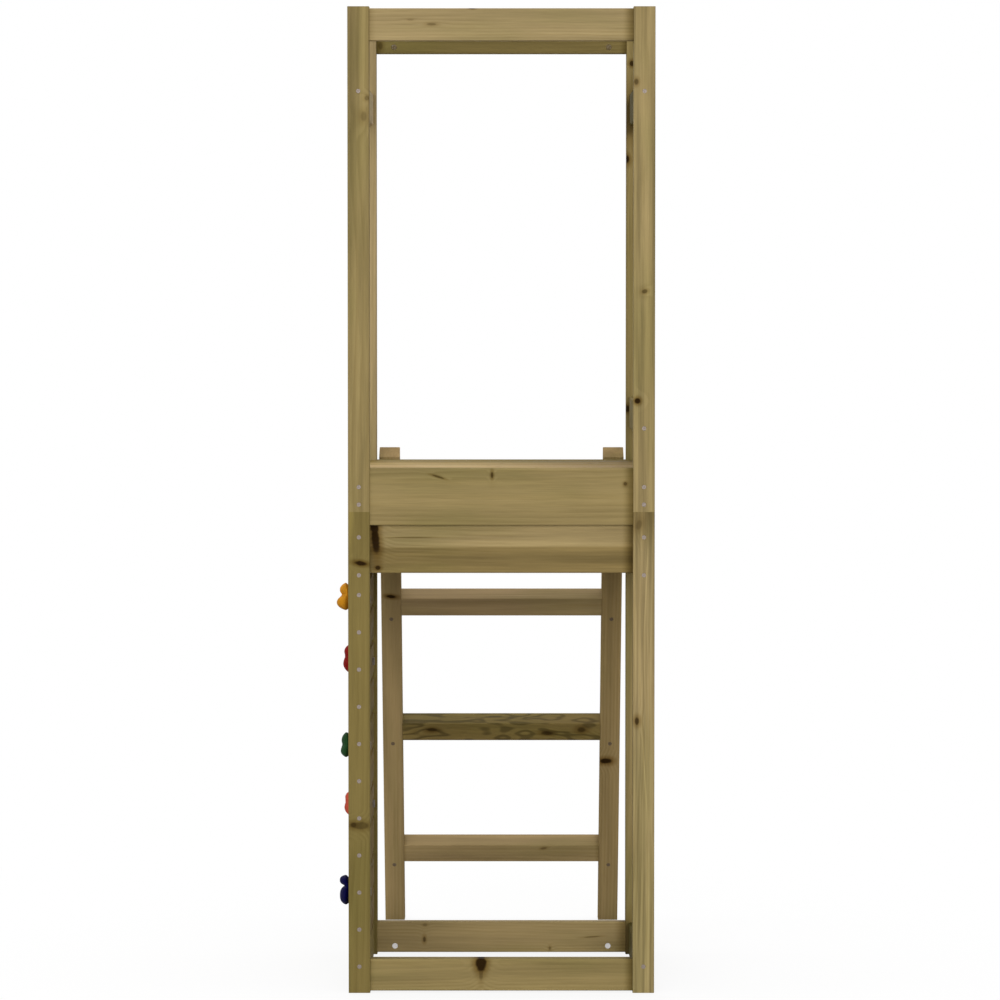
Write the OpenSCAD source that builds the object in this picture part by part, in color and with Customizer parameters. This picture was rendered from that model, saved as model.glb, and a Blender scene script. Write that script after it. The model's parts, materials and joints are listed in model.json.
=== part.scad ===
// Wooden climbing frame: a play tower with a deck, a slatted climbing wall and a leaning ladder.
// Millimetres. +Z is up, +X is to the right and +Y to the back, seen from the front.
// The origin lies on the floor, under the middle of the whole outline.

/* [Frame] */
// Width over the posts
frame_w = 525; // [480:5:600]
// Depth over the posts
frame_d = 465; // [430:5:540]
// Height of the posts
frame_h = 1690; // [1600:10:1800]
// Side of the square timber of the posts
post_w = 37; // [35:1:42]
// Radius of the eased edges of all timbers
edge_r = 2; // [1:0.5:3]

/* [Rails] */
// Height of a rail
rail_h = 55; // [50:1:58]
// Thickness of a rail or slat
rail_t = 26; // [22:1:30]
// Gap between the end of a post and the nearest rail
rail_inset = 3; // [1:1:8]

/* [Deck] */
// Height of the deck's surface above the floor
deck_z = 899; // [876:1:926]
// Thickness of a deck plank
deck_t = 16; // [14:1:20]
// Height by which the front deck board stands above the planks
board_lip = 4; // [2:0.5:6]
// Number of deck planks
plank_count = 4; // [3:1:5]
// Gap between deck planks
plank_gap = 4; // [2:1:8]
// Height of a deck board
board_h = 98; // [92:1:104]
// Thickness of a deck board
board_t = 16; // [14:1:18]
// Depth of the upper deck boards behind the faces of the posts
board_recess = 4; // [2:0.5:6]
// Height by which a lower deck board runs up behind the upper one
board_lap = 15; // [8:1:20]

/* [Sides] */
// Distance from the top of the posts down to the middle of the upper guard rails
guard_drop = 159; // [130:1:220]
// Height of the middle of the lower guard rail above the deck
guard_rise = 87; // [64:1:144]
// Distance from the deck's surface down to the middle of the side boards
side_board_drop = 147; // [141:1:161]
// Number of slats in the climbing wall, which share its height
slat_count = 10; // [9:1:11]
// Gap below each slat
slat_gap = 9; // [6:0.5:12]
// Gap between the top slat and the side board
wall_gap = 5; // [2:1:12]

/* [Ladder] */
// Lean of the ladder from upright, in degrees
ladder_lean = 23.5; // [20:0.5:30]
// Width of a ladder stringer
ladder_t = 37; // [35:1:42]
// Depth of the stringers and rungs, square to the ladder's near face
ladder_d = 42; // [38:1:48]
// Height of a rung along the ladder
rung_h = 36; // [32:1:40]
// Gap between the ladder and the rear post on each side
ladder_gap = 3.5; // [2:0.5:20]
// Least distance along the ladder from the last rung to the foot, which sets the number of rungs
rung_foot = 100; // [60:5:140]
// Distance along the ladder from its top to the middle of the first rung
rung_first = 308; // [290:2:330]
// Distance along the ladder from rung to rung
rung_pitch = 264.5; // [250:0.5:280]

/* [Climbing holds] */
// Length of the longest hold
hold_l = 96; // [80:1:110]
// Reach of the tallest hold from the slat
hold_out = 29.5; // [26:0.5:36]
// Thickness of a hold's foot
hold_base_t = 12; // [10:0.5:14]
// Height of the tallest hold's upper edge above its bolt
hold_rise = 29.5; // [26:0.5:31]
// Depth of the tallest hold's lower edge below its bolt
hold_fall = 21.5; // [18:0.5:23]

/* [Fasteners] */
// Diameter of a wood screw
screw_d = 4; // [3:0.5:6]
// Diameter of a screw's head
screw_head_d = 7.5; // [7:0.5:10]
// Height of a screw's countersunk head
screw_head_h = 3; // [2:0.5:4]
// Length of a timber screw
screw_l = 70; // [60:1:80]
// Length of a deck screw
deck_screw_l = 45; // [35:1:50]
// Distance of a side screw from the middle of a rail
screw_rise = 15; // [12:0.5:18]
// Distance of a side screw from the middle of a side board
board_screw_rise = 32.5; // [28:0.5:36]
// Diameter of a rail bolt
bolt_d = 6; // [5:0.5:8]
// Diameter of a rail bolt's head
bolt_head_d = 12; // [10:0.5:14]
// Height of a rail bolt's head
bolt_head_h = 4; // [3:0.5:6]
// Distance of the rail bolts below the middle of a rail
bolt_drop = 16; // [12:0.5:18]
// Diameter of a barrel nut
barrel_d = 10; // [9:0.5:12]
// Distance of a barrel nut from the end of its rail
barrel_inset = 32; // [24:1:40]
// Diameter of a hold's bolt
hold_bolt_d = 8; // [6:0.5:9]
// Width of a hold's nut across its flats
hold_nut_w = 13; // [12:0.5:15]
// Height of a hold's nut
hold_nut_h = 4; // [3:0.5:6]
// Diameter of the dowels in the butt joints of the posts
dowel_d = 8; // [6:0.5:9]
// Length of a dowel
dowel_l = 44; // [30:1:48]

/* [Hidden] */
$fn = 48;
// Clearance round a fastener, and the overrun of a cut
fit_gap = 0.2;
overrun = 1;

// Frame: middles of the posts, and the clear spans between them
post_x = (frame_w - post_w) / 2;
inner_w = frame_w - 2 * post_w;
inner_d = frame_d - 2 * post_w;

// Heights of the middles of the timbers, and of the butt joint in the posts
low_rail_z = rail_inset + rail_h / 2;
top_rail_z = frame_h - low_rail_z;
bearer_z = deck_z - deck_t - rail_h / 2;
joint_z = bearer_z - rail_h / 2;
guard_top_z = frame_h - guard_drop;
guard_low_z = deck_z + guard_rise;
side_board_z = deck_z - side_board_drop;
upper_board_z = deck_z + board_lip - board_h / 2;
lower_board_z = upper_board_z - board_h + board_lap;
wall_top_z = side_board_z - board_h / 2 - wall_gap;
wall_low_z = low_rail_z + rail_h / 2;
slat_pitch = (wall_top_z - wall_low_z) / slat_count;
slat_h = slat_pitch - slat_gap;
slat_screw_rise = screw_rise * slat_h / rail_h;
top_slat_z = wall_top_z - slat_h / 2;

// Deck: the planks lie on the bearers, between the front and the rear posts
plank_l = 2 * post_x + rail_t;
plank_w = (inner_d - (plank_count + 1) * plank_gap) / plank_count;
plank_screw_share = 0.28;
deck_screw_shift = rail_t / 4;

// Depth of the top screws of the upper deck boards below the deck's surface
board_edge = 10;

// Barrel nuts end flush with the inner face of their rail
barrel_share = 0.75;
barrel_l = rail_t * barrel_share;
// Rail bolts end just past their barrel nut
bolt_l = post_w + barrel_inset + barrel_d;

// Ladder: its near face touches the eased top edge of the rear deck board, which is level with the planks
ladder_w = inner_w - 2 * ladder_gap;
stringer_x = (ladder_w - ladder_t) / 2;
ladder_top_z = deck_z + board_lip;
rear_edge_y = frame_d - board_recess - edge_r;
ladder_top_y = rear_edge_y + (edge_r - (board_lip + edge_r) * sin(ladder_lean)) / cos(ladder_lean);
ladder_foot_y = ladder_top_y + ladder_top_z * tan(ladder_lean) + ladder_d / cos(ladder_lean);
stringer_l = ladder_top_z / cos(ladder_lean) + ladder_d;
rung_count = 1 + floor((stringer_l - ladder_d - rung_first - rung_foot) / rung_pitch);
rung_l = ladder_w - 2 * ladder_t;
// Lock screws sit just below each rung
lock_screw_l = 30;
lock_screw_gap = 7;
lock_screw_drop = rung_h / 2 + lock_screw_gap;
// Depth of the ladder's bolts below the deck's surface
ladder_bolt_drop = 25;
ladder_bolt_l = board_t + ladder_d + ladder_bolt_drop * tan(ladder_lean) / 2;

// Holds, from the top: spread over the slats, in the front or the rear column by turns
hold_names = ["orange", "red", "green", "coral", "blue"];
hold_colours = ["orange", "firebrick", "seagreen", "tomato", "navy"];
hold_column_shares = [0.2, 0.76, 0.2, 0.76, 0.2];
hold_length_shares = [1, 0.94, 0.9, 0.96, 1];
hold_rise_shares = [0.94, 1, 0.82, 0.76, 0.94];
hold_fall_shares = [0.9, 0.95, 0.95, 0.95, 1];
hold_reach_shares = [[1, 0.81], [0.89, 0.82], [0.77, 0.72], [0.83, 0.78], [0.83, 0.84]];
hold_tilts = [5, -6, 4, -4, 7];
slat_face_x = post_x + rail_t / 2;
hold_seat_share = 0.5;
hold_seat = hold_base_t * hold_seat_share;
hold_head_d = hold_nut_w;
hold_head_share = 0.6;
hold_head_h = hold_bolt_d * hold_head_share;

// Surface of a hold: a lower and an upper lobe. Shares of the half height: where the two meet, how far
// each runs past that place, and where they end; then shares of the half length that they take up
hold_waist_shares = [0.09, 0.18, -0.15, 0.18, 0.3];
hold_lap_shares = [0.1, 0.16, 0.175, 0.19, 0.11];
lobe_end_share = 0.98;
lobe_length_shares = [0.97, 0.84];
plan_power = 0.35;
foot_power = 8;
blend_power = 4;
section_steps = 24;
length_steps = 16;

// Middle of the whole outline, which the origin stands under
mid_x = (frame_w / 2 - slat_face_x - hold_out) / 2;
mid_y = ladder_foot_y / 2;

// Timbers between a front and a rear post: middle height, height, thickness, rises of their screws
low_rail_row = [low_rail_z, rail_h, rail_t, [screw_rise]];
bearer_row = [bearer_z, rail_h, rail_t, [-screw_rise, screw_rise]];
side_board_row = [side_board_z, board_h, board_t, [-board_screw_rise, board_screw_rise]];
guard_top_row = [guard_top_z, rail_h, rail_t, [screw_rise]];
guard_low_row = [guard_low_z, rail_h, rail_t, [-screw_rise]];
function slat_row(i) = [top_slat_z - (i - 1) * slat_pitch, slat_h, rail_t, [slat_screw_rise]];
both_rows = [low_rail_row, side_board_row, bearer_row, guard_top_row];
left_rows = concat(both_rows, [for (i = [1:slat_count]) slat_row(i)]);
right_rows = concat(both_rows, [guard_low_row]);
function side_rows(side) = side < 0 ? left_rows : right_rows;

// Deck boards of one layer: middle height and heights of their screws
board_rows = [
    [upper_board_z, [bearer_z, deck_z - board_edge]],
    [lower_board_z, [side_board_z, side_board_z + board_h / 2]]
];

// Distance from the front for end 0, or the same distance from the back for end 1
function from_end(end, y) = end == 0 ? y : frame_d - y;
function board_y(layer) = board_recess + (layer + 0.5) * board_t;
// The upper rear board is level with the planks, without the lip of the front one
function board_z(end, layer) = board_rows[layer][0] - (layer == 0 ? end * board_lip : 0);
function rung_s(i) = rung_first + (i - 1) * rung_pitch;
function plank_y(i) = post_w + plank_gap + plank_w / 2 + (i - 1) * (plank_w + plank_gap);
function hold_slat(h) = 1 + floor(h * (slat_count - 2) / (len(hold_names) - 1));

wood = "burlywood";
steel = "silver";
sides = [-1, 1];
ends = [0, 1];

// Section of a timber with eased edges
module timber_section(w, h) {
    square([w - 2 * edge_r, h], center = true);
    square([w, h - 2 * edge_r], center = true);
    for (x = sides, y = sides)
        translate([x * (w / 2 - edge_r), y * (h / 2 - edge_r)])
            circle(r = edge_r);
}

// Timber along X about the origin, t thick along Y and h high
module timber_x(l, t, h) {
    rotate([90, 0, 90])
        linear_extrude(height = l, center = true)
            timber_section(t, h);
}

// Timber along Y about the origin, t thick along X and h high
module timber_y(l, t, h) {
    rotate([90, 0, 0])
        linear_extrude(height = l, center = true)
            timber_section(t, h);
}

// Countersunk screw that points along +Z, its head flush with the plane at 0; grow makes it a cutter
module screw(l, grow = 0) {
    cylinder(h = l + grow, d = screw_d + 2 * grow);
    cylinder(h = screw_head_h + grow, d1 = screw_head_d + 2 * grow, d2 = screw_d + 2 * grow);
    if (grow > 0)
        translate([0, 0, -overrun])
            cylinder(h = overrun, d = screw_head_d + 2 * grow);
}

// Flat-headed bolt that points along +Z, its head sunk flush with the plane at 0
module rail_bolt(grow = 0) {
    cylinder(h = bolt_l + grow, d = bolt_d + 2 * grow);
    cylinder(h = bolt_head_h + grow, d = bolt_head_d + 2 * grow);
    if (grow > 0)
        translate([0, 0, -overrun])
            cylinder(h = overrun, d = bolt_head_d + 2 * grow);
}

// Turns +Z to the back for end 0 and to the front for end 1
module inwards_y(end) {
    rotate([end == 0 ? -90 : 90, 0, 0])
        children();
}

// Turns +Z from the outside of a side to the middle
module inwards_x(side) {
    rotate([0, -90 * side, 0])
        children();
}

// Puts the ladder's own frame in place: +Y square out of its near face, -Z down along it
module in_ladder() {
    translate([0, ladder_top_y, ladder_top_z])
        rotate([ladder_lean, 0, 0])
            children();
}

// Moves the frame so that the origin stands under the middle of the outline
module placed() {
    translate([-mid_x, -mid_y, 0])
        children();
}

// Screws through one post into the ends of its side timbers, between two heights
module side_screws_at(side, end, z0, z1, grow = 0) {
    for (row = side_rows(side), rise = row[3])
        if (row[0] + rise > z0 && row[0] + rise < z1)
            translate([side * post_x, from_end(end, 0), row[0] + rise])
                inwards_y(end)
                    screw(screw_l, grow);
}

// Bolts through one post into the ends of its rails, between two heights
module rail_bolts_at(side, end, z0, z1, grow = 0) {
    for (z = [low_rail_z, top_rail_z])
        if (z > z0 && z < z1)
            translate([side * frame_w / 2, from_end(end, post_w / 2), z - bolt_drop])
                inwards_x(side)
                    rail_bolt(grow);
}

// Screws through one post into the ends of its deck boards, between two heights
module board_screws_at(side, end, z0, z1, grow = 0) {
    for (layer = [0, 1], z = board_rows[layer][1])
        if (z > z0 && z < z1)
            translate([side * frame_w / 2, from_end(end, board_y(layer)), z])
                inwards_x(side)
                    screw(screw_l, grow);
}

module dowel_at(side, end, grow = 0) {
    translate([side * (post_x - post_w / 4), from_end(end, post_w / 2), joint_z])
        cylinder(h = dowel_l + 2 * grow, d = dowel_d + 2 * grow, center = true);
}

// One length of a post, with the holes of what is driven into it
module post(side, end, z0, z1) {
    color(wood)
        difference() {
            translate([side * post_x, from_end(end, post_w / 2), z0])
                linear_extrude(height = z1 - z0)
                    timber_section(post_w, post_w);
            side_screws_at(side, end, z0, z1, fit_gap);
            rail_bolts_at(side, end, z0, z1, fit_gap);
            board_screws_at(side, end, z0, z1, fit_gap);
            dowel_at(side, end, fit_gap);
        }
}

module barrel_nut_at(side, end, z, grow = 0) {
    translate([
        side * (inner_w / 2 - barrel_inset),
        from_end(end, (post_w + rail_t) / 2 - barrel_l - grow),
        z - bolt_drop
    ])
        inwards_y(end)
            cylinder(h = barrel_l + grow + (grow > 0 ? overrun : 0), d = barrel_d + 2 * grow);
}

// Rail between two posts, at the front or the back
module cross_rail(end, z) {
    color(wood)
        difference() {
            translate([0, from_end(end, post_w / 2), z])
                timber_x(inner_w, rail_t, rail_h);
            for (side = sides) {
                rail_bolts_at(side, end, z - rail_h, z + rail_h, fit_gap);
                barrel_nut_at(side, end, z, fit_gap);
            }
        }
}

// Timber between a front and a rear post
module side_timber(side, row) {
    color(wood)
        difference() {
            translate([side * post_x, frame_d / 2, row[0]])
                timber_y(inner_d, row[2], row[1]);
            for (end = ends)
                side_screws_at(side, end, row[0] - row[1] / 2, row[0] + row[1] / 2, fit_gap);
            children();
        }
}

module cross_board(end, layer) {
    color(wood)
        difference() {
            translate([0, from_end(end, board_y(layer)), board_z(end, layer)])
                timber_x(inner_w, board_t, board_h);
            for (side = sides, z = board_rows[layer][1])
                board_screws_at(side, end, z - overrun, z + overrun, fit_gap);
            children();
        }
}

// Screws of one plank into the bearer of one side
module plank_screws_at(side, i, grow = 0) {
    for (y = sides)
        translate([side * (post_x - deck_screw_shift), plank_y(i) + y * plank_screw_share * plank_w, deck_z])
            rotate([180, 0, 0])
                screw(deck_screw_l, grow);
}

module deck_bearer(side) {
    side_timber(side, bearer_row)
        for (i = [1:plank_count])
            plank_screws_at(side, i, fit_gap);
}

module deck_plank(i) {
    color(wood)
        difference() {
            translate([0, plank_y(i), deck_z - deck_t / 2])
                timber_x(plank_l, plank_w, deck_t);
            for (side = sides)
                plank_screws_at(side, i, fit_gap);
        }
}

// Climbing wall: the slat at number i from the top, bored where a hold sits on it
module climbing_slat(i) {
    side_timber(-1, slat_row(i))
        for (h = [0:len(hold_names) - 1])
            if (hold_slat(h) == i)
                on_slat(h)
                    translate([0, 0, -rail_t - overrun])
                        cylinder(h = rail_t + 2 * overrun, d = hold_bolt_d + 2 * fit_gap);
}

// Puts a hold's own frame on its slat: +Z out of the wall, +Y up, +X to the front
module on_slat(h) {
    translate([-slat_face_x, post_w + hold_column_shares[h] * inner_d, slat_row(hold_slat(h))[0]])
        rotate([90, 0, -90])
            children();
}

// Height of half a circle of radius 1 over the point q of its diameter
function arch(q) = abs(q) < 1 ? sqrt(1 - q * q) : 0;
function power_sum(a, b, c) = pow(pow(a, blend_power) + pow(b, blend_power) + pow(c, blend_power), 1 / blend_power);

// Reach of lobe k of hold h over the foot, across at q and along at u, which both run from -1 to 1
function lobe(h, k, q, u) =
    let (reach = hold_out * hold_reach_shares[h][k])
    let (own = pow(pow(reach, blend_power) - pow(hold_base_t, blend_power), 1 / blend_power))
    let (near = hold_waist_shares[h] - sides[k] * hold_lap_shares[h], far = sides[k] * lobe_end_share)
    own * arch((2 * q - near - far) / (far - near)) * arch(u / lobe_length_shares[k]);

function rise(h) = hold_rise * hold_rise_shares[h];
function fall(h) = hold_fall * hold_fall_shares[h];

// Foot with round edges, which the lobes grow out of
function foot(q) = pow(1 - pow(abs(q), foot_power), 1 / blend_power);

// Point of the surface of hold h, at angle a across it and angle b along it
function hold_point(h, a, b) =
    let (q = -cos(a), u = -cos(b))
    [hold_l * hold_length_shares[h] / 2 * u,
     (rise(h) - fall(h)) / 2 + (rise(h) + fall(h)) / 2 * q * pow(1 - u * u, plan_power),
     power_sum(hold_base_t * foot(q) * foot(u), lobe(h, 0, q, u), lobe(h, 1, q, u))];

// Closed skin over rows of points, with a pole before the first row and one after the last
module skin(rows, poles) {
    n = len(rows[0]);
    last = len(rows) - 1;
    tip = n * len(rows);
    function at(j, i) = j * n + i;
    polyhedron(
        points = concat([for (row = rows, p = row) p], poles),
        faces = concat(
            [for (j = [0:last - 1], i = [0:n - 2]) [at(j, i), at(j, i + 1), at(j + 1, i + 1)]],
            [for (j = [0:last - 1], i = [0:n - 2]) [at(j, i), at(j + 1, i + 1), at(j + 1, i)]],
            [for (i = [0:n - 2]) [tip, at(0, i + 1), at(0, i)]],
            [for (i = [0:n - 2]) [at(last, i), at(last, i + 1), tip + 1]],
            [for (j = [0:last - 1]) [at(j, 0), at(j + 1, 0), at(j + 1, n - 1), at(j, n - 1)]],
            [[tip, at(0, 0), at(0, n - 1)], [at(last, 0), tip + 1, at(last, n - 1)]]
        )
    );
}

// Moulded hold: a long lower lobe and a short upper one on a foot, with a groove for the fingers
module climbing_hold(h) {
    half_l = hold_l * hold_length_shares[h] / 2;
    middle = (rise(h) - fall(h)) / 2;
    rows = [
        for (j = [1:length_steps - 1])
            [for (i = [0:section_steps]) hold_point(h, 180 * i / section_steps, 180 * j / length_steps)]
    ];
    color(hold_colours[h])
        on_slat(h)
            difference() {
                rotate([0, 0, hold_tilts[h]])
                    skin(rows, [[-half_l, middle, 0], [half_l, middle, 0]]);
                translate([0, 0, -overrun])
                    cylinder(h = hold_out + 2 * overrun, d = hold_bolt_d + 2 * fit_gap);
                translate([0, 0, hold_seat])
                    cylinder(h = hold_out, d = hold_head_d + 4 * fit_gap);
            }
}

module hold_bolts() {
    color(steel)
        for (h = [0:len(hold_names) - 1])
            on_slat(h) {
                translate([0, 0, -rail_t - hold_nut_h])
                    cylinder(h = rail_t + hold_nut_h + hold_seat, d = hold_bolt_d);
                translate([0, 0, hold_seat])
                    cylinder(h = hold_head_h, d = hold_head_d);
            }
}

module hold_nuts() {
    color(steel)
        for (h = [0:len(hold_names) - 1])
            on_slat(h)
                translate([0, 0, -rail_t - hold_nut_h])
                    difference() {
                        cylinder(h = hold_nut_h, d = hold_nut_w / cos(30), $fn = 6);
                        translate([0, 0, -overrun])
                            cylinder(h = hold_nut_h + 2 * overrun, d = hold_bolt_d + 2 * fit_gap);
                    }
}

// Screws of rung i: one into each end, and one lock screw in the near face of each stringer
module rung_screws_at(side, i, grow = 0) {
    in_ladder() {
        translate([side * ladder_w / 2, ladder_d / 2, -rung_s(i)])
            inwards_x(side)
                screw(screw_l, grow);
        translate([side * stringer_x, 0, -rung_s(i) - lock_screw_drop])
            inwards_y(0)
                screw(lock_screw_l, grow);
    }
}

// Hexagon bolt through the rear deck board into a stringer
module ladder_bolt_at(side, grow = 0) {
    translate([side * stringer_x, from_end(1, board_y(0) + board_t / 2), deck_z - ladder_bolt_drop])
        inwards_y(0) {
            translate([0, 0, -grow])
                cylinder(h = ladder_bolt_l + 2 * grow, d = bolt_d + 2 * grow);
            if (grow == 0)
                translate([0, 0, -bolt_head_h])
                    cylinder(h = bolt_head_h, d = bolt_head_d, $fn = 6);
        }
}

// Stringer with a square top end and a foot cut level with the floor
module ladder_stringer(side) {
    color(wood)
        difference() {
            in_ladder()
                translate([side * stringer_x, ladder_d / 2, -stringer_l])
                    linear_extrude(height = stringer_l)
                        timber_section(ladder_t, ladder_d);
            translate([-frame_w, 0, -frame_h])
                cube([2 * frame_w, 2 * ladder_foot_y, frame_h]);
            for (i = [1:rung_count])
                rung_screws_at(side, i, fit_gap);
            ladder_bolt_at(side, fit_gap);
        }
}

module ladder_rung(i) {
    color(wood)
        difference() {
            in_ladder()
                translate([0, ladder_d / 2, -rung_s(i)])
                    timber_x(rung_l, ladder_d, rung_h);
            for (side = sides)
                rung_screws_at(side, i, fit_gap);
        }
}

module post_dowels() {
    color(wood)
        for (side = sides, end = ends)
            dowel_at(side, end);
}

module rail_bolts() {
    color(steel)
        for (side = sides, end = ends)
            rail_bolts_at(side, end, 0, frame_h);
}

module barrel_nuts() {
    color(steel)
        difference() {
            for (side = sides, end = ends, z = [low_rail_z, top_rail_z])
                barrel_nut_at(side, end, z);
            for (side = sides, end = ends)
                rail_bolts_at(side, end, 0, frame_h, fit_gap);
        }
}

module side_screws() {
    color(steel)
        for (side = sides, end = ends)
            side_screws_at(side, end, 0, frame_h);
}

module board_screws() {
    color(steel)
        for (side = sides, end = ends)
            board_screws_at(side, end, 0, frame_h);
}

module deck_screws() {
    color(steel)
        for (side = sides, i = [1:plank_count])
            plank_screws_at(side, i);
}

module ladder_screws() {
    color(steel)
        for (side = sides, i = [1:rung_count])
            rung_screws_at(side, i);
}

module ladder_bolts() {
    color(steel)
        for (side = sides)
            ladder_bolt_at(side);
}

placed() post(-1, 0, joint_z, frame_h);  // upper_post_front_left
placed() post(1, 0, joint_z, frame_h);  // upper_post_front_right
placed() post(-1, 1, joint_z, frame_h);  // upper_post_rear_left
placed() post(1, 1, joint_z, frame_h);  // upper_post_rear_right
placed() post(-1, 0, 0, joint_z);  // lower_post_front_left
placed() post(1, 0, 0, joint_z);  // lower_post_front_right
placed() post(-1, 1, 0, joint_z);  // lower_post_rear_left
placed() post(1, 1, 0, joint_z);  // lower_post_rear_right
placed() post_dowels();
placed() cross_rail(0, top_rail_z);  // top_rail_front
placed() cross_rail(1, top_rail_z);  // top_rail_rear
placed() cross_rail(0, low_rail_z);  // bottom_rail_front
placed() cross_rail(1, low_rail_z);  // bottom_rail_rear
placed() side_timber(-1, low_rail_row);  // bottom_rail_left
placed() side_timber(1, low_rail_row);  // bottom_rail_right
placed() side_timber(-1, guard_top_row);  // guard_rail_left
placed() side_timber(1, guard_top_row);  // guard_rail_right_top
placed() side_timber(1, guard_low_row);  // guard_rail_right_low
placed() cross_board(0, 0);  // deck_board_front_upper
placed() cross_board(0, 1);  // deck_board_front_lower
placed() cross_board(1, 0) for (side = sides) ladder_bolt_at(side, fit_gap);  // deck_board_rear_upper
placed() cross_board(1, 1);  // deck_board_rear_lower
placed() side_timber(-1, side_board_row);  // side_board_left
placed() side_timber(1, side_board_row);  // side_board_right
placed() deck_bearer(-1);  // deck_bearer_left
placed() deck_bearer(1);  // deck_bearer_right
for (i = [1:plank_count])
    placed() deck_plank(i);
for (i = [1:slat_count])
    placed() climbing_slat(i);
placed() ladder_stringer(-1);  // ladder_stringer_left
placed() ladder_stringer(1);  // ladder_stringer_right
for (i = [1:rung_count])
    placed() ladder_rung(i);
for (h = [0:len(hold_names) - 1])
    placed() climbing_hold(h);
placed() hold_bolts();
placed() hold_nuts();
placed() rail_bolts();
placed() barrel_nuts();
placed() side_screws();
placed() board_screws();
placed() deck_screws();
placed() ladder_screws();
placed() ladder_bolts();
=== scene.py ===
import json
import math

import bpy
import numpy as np
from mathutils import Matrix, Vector


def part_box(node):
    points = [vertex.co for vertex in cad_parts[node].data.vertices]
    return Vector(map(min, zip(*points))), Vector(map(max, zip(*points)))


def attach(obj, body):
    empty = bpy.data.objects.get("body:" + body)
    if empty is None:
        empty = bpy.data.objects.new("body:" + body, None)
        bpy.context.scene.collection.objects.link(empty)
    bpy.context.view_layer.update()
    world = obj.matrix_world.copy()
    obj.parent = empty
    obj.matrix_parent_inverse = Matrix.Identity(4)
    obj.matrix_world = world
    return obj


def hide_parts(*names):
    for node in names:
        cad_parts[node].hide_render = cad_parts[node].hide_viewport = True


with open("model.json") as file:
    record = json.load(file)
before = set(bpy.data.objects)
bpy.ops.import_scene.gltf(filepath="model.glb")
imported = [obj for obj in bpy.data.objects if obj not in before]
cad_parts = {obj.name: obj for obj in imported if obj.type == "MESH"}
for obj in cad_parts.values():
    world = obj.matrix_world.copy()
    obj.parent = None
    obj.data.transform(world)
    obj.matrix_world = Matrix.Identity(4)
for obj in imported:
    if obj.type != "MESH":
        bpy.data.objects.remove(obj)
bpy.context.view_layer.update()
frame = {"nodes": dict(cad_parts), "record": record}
nodes = frame["nodes"]
scene = bpy.context.scene
scene.view_settings.view_transform = "Standard"
print("frame loaded:", len(nodes), "nodes")


def middleOf(name):
    low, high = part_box(name)
    return np.array((low + high) / 2)


def namesOf(slot):
    return [part["node"] for part in frame["record"]["subparts"] if part["material_slot"] == slot]


# Short forms for wiring a material: each returns the output socket, and noise its node
def setInput(tree, socket, value):
    if isinstance(value, bpy.types.NodeSocket):
        tree.links.new(value, socket)
    else:
        socket.default_value = value


def calc(tree, operation, a, b=0.0):
    node = tree.nodes.new("ShaderNodeMath")
    node.operation = operation
    setInput(tree, node.inputs[0], a)
    setInput(tree, node.inputs[1], b)
    return node.outputs[0]


def calcVector(tree, operation, a, b=(0, 0, 0)):
    node = tree.nodes.new("ShaderNodeVectorMath")
    node.operation = operation
    setInput(tree, node.inputs[0], a)
    setInput(tree, node.inputs[1], b)
    return node.outputs["Value"] if operation in ("LENGTH", "DOT_PRODUCT") else node.outputs["Vector"]


# From the first result to the second as the value goes from the first limit to the second
def ease(tree, value, limits, results):
    node = tree.nodes.new("ShaderNodeMapRange")
    node.interpolation_type = "SMOOTHSTEP"
    setInput(tree, node.inputs["Value"], value)
    node.inputs["From Min"].default_value = limits[0]
    node.inputs["From Max"].default_value = limits[1]
    node.inputs["To Min"].default_value = results[0]
    node.inputs["To Max"].default_value = results[1]
    return node.outputs["Result"]


def noise(tree, place, detail, roughness=0.5):
    node = tree.nodes.new("ShaderNodeTexNoise")
    node.inputs["Scale"].default_value = 1
    node.inputs["Detail"].default_value = detail
    node.inputs["Roughness"].default_value = roughness
    setInput(tree, node.inputs["Vector"], place)
    return node


def evenNoise(tree, place, scale, detail):
    return noise(tree, calcVector(tree, "MULTIPLY", place, (scale, scale, scale)), detail).outputs["Fac"]


def blend(tree, how, share, a, b):
    node = tree.nodes.new("ShaderNodeMix")
    node.data_type = "RGBA"
    node.blend_type = how
    setInput(tree, node.inputs["Factor"], share)
    setInput(tree, node.inputs["A"], a)
    setInput(tree, node.inputs["B"], b)
    return node.outputs["Result"]


def shaded(tree, colour, shade):
    return blend(tree, "MULTIPLY", 1.0, colour, shade)


def greyOf(tree, value):
    node = tree.nodes.new("ShaderNodeCombineColor")
    for socket in node.inputs:
        tree.links.new(value, socket)
    return node.outputs["Color"]


def startMaterial(name):
    material = bpy.data.materials.new(name)
    material.use_nodes = True
    tree = material.node_tree
    coords = tree.nodes.new("ShaderNodeTexCoord")
    return material, tree, tree.nodes["Principled BSDF"], coords.outputs["Object"]


def addBump(tree, shader, height, strength, depth):
    bump = tree.nodes.new("ShaderNodeBump")
    bump.inputs["Strength"].default_value = strength
    bump.inputs["Distance"].default_value = depth
    setInput(tree, bump.inputs["Height"], height)
    tree.links.new(bump.outputs["Normal"], shader.inputs["Normal"])


def recolour(node, material):
    node.data.materials.clear()
    node.data.materials.append(material)


# Camera: height and distance as in the photograph; a small part of the drop is lens shift, the rest tilt
cameraSet = {
    "distance": 7.4,          # metres from the front faces of the posts
    "height": 1.226,          # metres above the floor
    "pictureSize": 1000,      # pixels along each side
    "focalPixels": 4332,
    "aheadColumn": 501.4,     # pixel that a level lens would look at
    "aheadRow": 279.1,
    "shift": 0.03,            # share of the picture left to lens shift
    "sensor": 36,             # millimetres
    "farClip": 60,
}


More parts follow.
